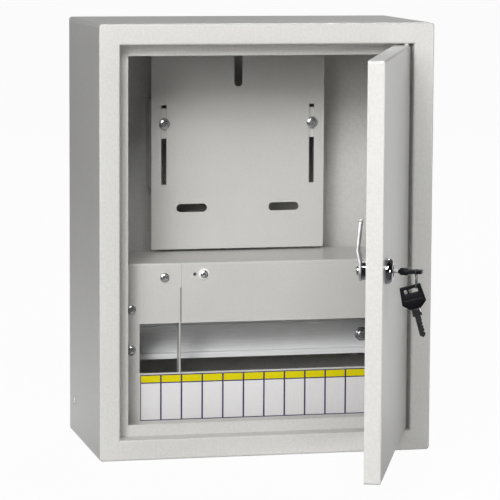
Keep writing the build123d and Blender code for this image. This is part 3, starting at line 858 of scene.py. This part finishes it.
def soften(name, one):
    mesh = nodes[one["node"]].data.copy()
    work = bmesh.new()
    work.from_mesh(mesh)
    bmesh.ops.remove_doubles(work, verts=work.verts, dist=1e-6)
    # back to whole flat faces, so the bevel runs along the real edges only
    bmesh.ops.dissolve_limit(work, angle_limit=math.radians(1), verts=work.verts, edges=work.edges)
    work.to_mesh(mesh)
    work.free()
    piece = newObject(name, mesh)
    edge = piece.modifiers.new("broken", "BEVEL")
    edge.width = one["edge"] * mm
    edge.segments = 2
    edge.limit_method = "ANGLE"
    edge.angle_limit = math.radians(edgeAngle)
    fit(settle(piece, edgeAngle), one["body"], one["slot"], one["node"])


for name, one in softened.items():
    soften(name, one)
print("small hardware softened")

# camera solved from the photograph; the frame is square
view = {
    "place": (-0.589216, -2.65799, 0.307212),
    "yaw": 12.9336, "pitch": 7.0112, "roll": 0.3131,
    "lens": 204.717, "sensor": 36, "near": 0.05,
}


def setCamera():
    yaw, pitch, roll = (math.radians(view[k]) for k in ("yaw", "pitch", "roll"))
    level = math.cos(pitch)
    ahead = Vector((math.sin(yaw) * level, math.cos(yaw) * level, -math.sin(pitch)))
    right = Vector((math.cos(yaw), -math.sin(yaw), 0))
    above = right.cross(ahead)
    side = right * math.cos(roll) + above * math.sin(roll)
    top = above * math.cos(roll) - right * math.sin(roll)
    lens = bpy.data.cameras.new("camera")
    lens.lens = view["lens"]
    lens.sensor_width = view["sensor"]
    lens.clip_start = view["near"]
    eye = newObject("camera", lens)
    turn = Matrix((side, top, -ahead)).transposed().to_4x4()
    eye.matrix_world = Matrix.Translation(view["place"]) @ turn
    scene.camera = eye


setCamera()

# studio: soft lamps in front and at both sides, two behind the case, pale floor and backdrop
studio = {
    "lamps": {
        "keyLamp": {"place": (-1.119, -2.5, 1.408), "aim": (0, -0.1, 0), "size": 0.88, "watts": 48},
        "topLamp": {"place": (-0.201, -2.389, 1.929), "aim": (0, -0.1, 0), "size": 0.88, "watts": 22},
        "leftLamp": {"place": (-1.663, -2.474, 0.777), "aim": (0, -0.1, 0), "size": 0.88, "watts": 23},
        "fillLamp": {"place": (1.674, -2.581, 0.209), "aim": (0, -0.1, 0), "size": 0.6, "watts": 20},
        "backLamp": {"place": (0.57, 2.4, 0.02), "aim": (0, 0, 0), "size": 0.66, "tall": 0.3,
                     "watts": 23, "offFloor": True},
        "highLamp": {"place": (0.867, 1.858, 2.07), "aim": (0, 0, 0), "size": 1.0, "watts": 31},
    },
    "ambient": 0.02,
    # what gloss mirrors: a white backdrop behind, a darker room in front, above and at the left
    "frontGloss": 0.1,
    "ceilingGloss": 0.12,
    "leftGloss": 0.12,
    "backdropFade": (-0.25, 0.45),
    "ceilingFade": (-0.02, 0.06),
    "horizonFade": (0.0, 0.06),  # the sky meets the floor at one tone
    "whiteFront": (-0.5, 0.1),  # gloss shows the floor white only past here
    "whiteLeft": (-0.5, -0.15),
    "floorSize": 44.0,
    "floorGap": 0.0005,
    "floorColor": (0.6, 0.6, 0.6),
    "floorRough": 0.8,
    "floorGlow": 0.965,  # the rest of the floor's tone is light and shadow
}


def addLamp(name, spec, floor):
    lamp = bpy.data.lights.new(name, "AREA")
    lamp.shape = "ELLIPSE"
    lamp.size = spec["size"]
    lamp.size_y = spec.get("tall", spec["size"])
    lamp.energy = spec["watts"]
    holder = newObject(name, lamp)
    place = Vector(spec["place"])
    turn = (Vector(spec["aim"]) - place).to_track_quat("-Z", "Y").to_matrix().to_4x4()
    holder.matrix_world = Matrix.Translation(place) @ turn
    if spec.get("offFloor"):  # keeps the lamp's pool of light off the backdrop
        unlit = bpy.data.collections.new(name + "Unlit")
        unlit.objects.link(floor)
        holder.light_linking.receiver_collection = unlit
        unlit.collection_objects[0].light_linking.link_state = "EXCLUDE"


def seenDirectly(tree):
    path = addNode(tree, "ShaderNodeLightPath").outputs
    first = reckon(tree, "MAXIMUM", path["Is Camera Ray"], path["Is Glossy Ray"])
    return path, reckon(tree, "MAXIMUM", first, path["Is Transmission Ray"])


def setWorld():
    world = bpy.data.worlds.new("studioSky")
    world.use_nodes = True
    tree = world.node_tree
    glow = tree.nodes["Background"]
    glow.inputs["Color"].default_value = (1, 1, 1, 1)
    path, seen = seenDirectly(tree)
    aim = split(tree, addNode(tree, "ShaderNodeTexCoord").outputs["Generated"])
    behind = spread(tree, aim["Y"], studio["frontGloss"], 1.0, *studio["backdropFade"])
    ceiling = spread(tree, aim["Z"], 1.0, studio["ceilingGloss"], *studio["ceilingFade"])
    room = reckon(tree, "MULTIPLY", behind, ceiling)
    horizon = spread(tree, aim["Z"], studio["floorGlow"], 1.0, *studio["horizonFade"])
    plain = reckon(tree, "SUBTRACT", 1.0, path["Is Glossy Ray"])
    plain = reckon(tree, "MULTIPLY", plain, horizon)
    mirrored = reckon(tree, "MULTIPLY_ADD", path["Is Glossy Ray"], room, plain)
    dim = reckon(tree, "MULTIPLY", reckon(tree, "SUBTRACT", 1.0, seen), studio["ambient"])
    wire(tree, reckon(tree, "MULTIPLY_ADD", seen, mirrored, dim), glow.inputs["Strength"])
    scene.world = world


def setFloor():
    half = studio["floorSize"] / 2
    level = cadBox[0][2] - studio["floorGap"]
    mesh = bpy.data.meshes.new("floor")
    square = ((-half, -half), (half, -half), (half, half), (-half, half))
    mesh.from_pydata([(x, y, level) for x, y in square], [], [(0, 1, 2, 3)])
    floor = newObject("floor", mesh)
    made, tree, shader = newFinish("paleFloor", studio["floorColor"], 0, studio["floorRough"])
    light = addNode(tree, "ShaderNodeEmission")
    light.inputs["Color"].default_value = (1, 1, 1, 1)
    mix = addNode(tree, "ShaderNodeMixShader")
    path, seen = seenDirectly(tree)
    spot = split(tree, addNode(tree, "ShaderNodeTexCoord").outputs["Object"])
    deep = spread(tree, spot["Y"], studio["frontGloss"], 1.0, *studio["whiteFront"])
    aside = spread(tree, spot["X"], studio["leftGloss"], 1.0, *studio["whiteLeft"])
    sweep = reckon(tree, "MULTIPLY", deep, aside)
    plain = reckon(tree, "SUBTRACT", 1.0, path["Is Glossy Ray"])
    sweep = reckon(tree, "MULTIPLY_ADD", path["Is Glossy Ray"], sweep, plain)
    wire(tree, sweep, light.inputs["Strength"])
    wire(tree, reckon(tree, "MULTIPLY", seen, studio["floorGlow"]), mix.inputs["Fac"])
    wire(tree, shader.outputs[0], mix.inputs[1])
    wire(tree, light.outputs[0], mix.inputs[2])
    wire(tree, mix.outputs[0], tree.nodes["Material Output"].inputs["Surface"])
    mesh.materials.append(made)
    return floor


floor = setFloor()
for name, spec in studio["lamps"].items():
    addLamp(name, spec, floor)
setWorld()
print("camera and studio set")
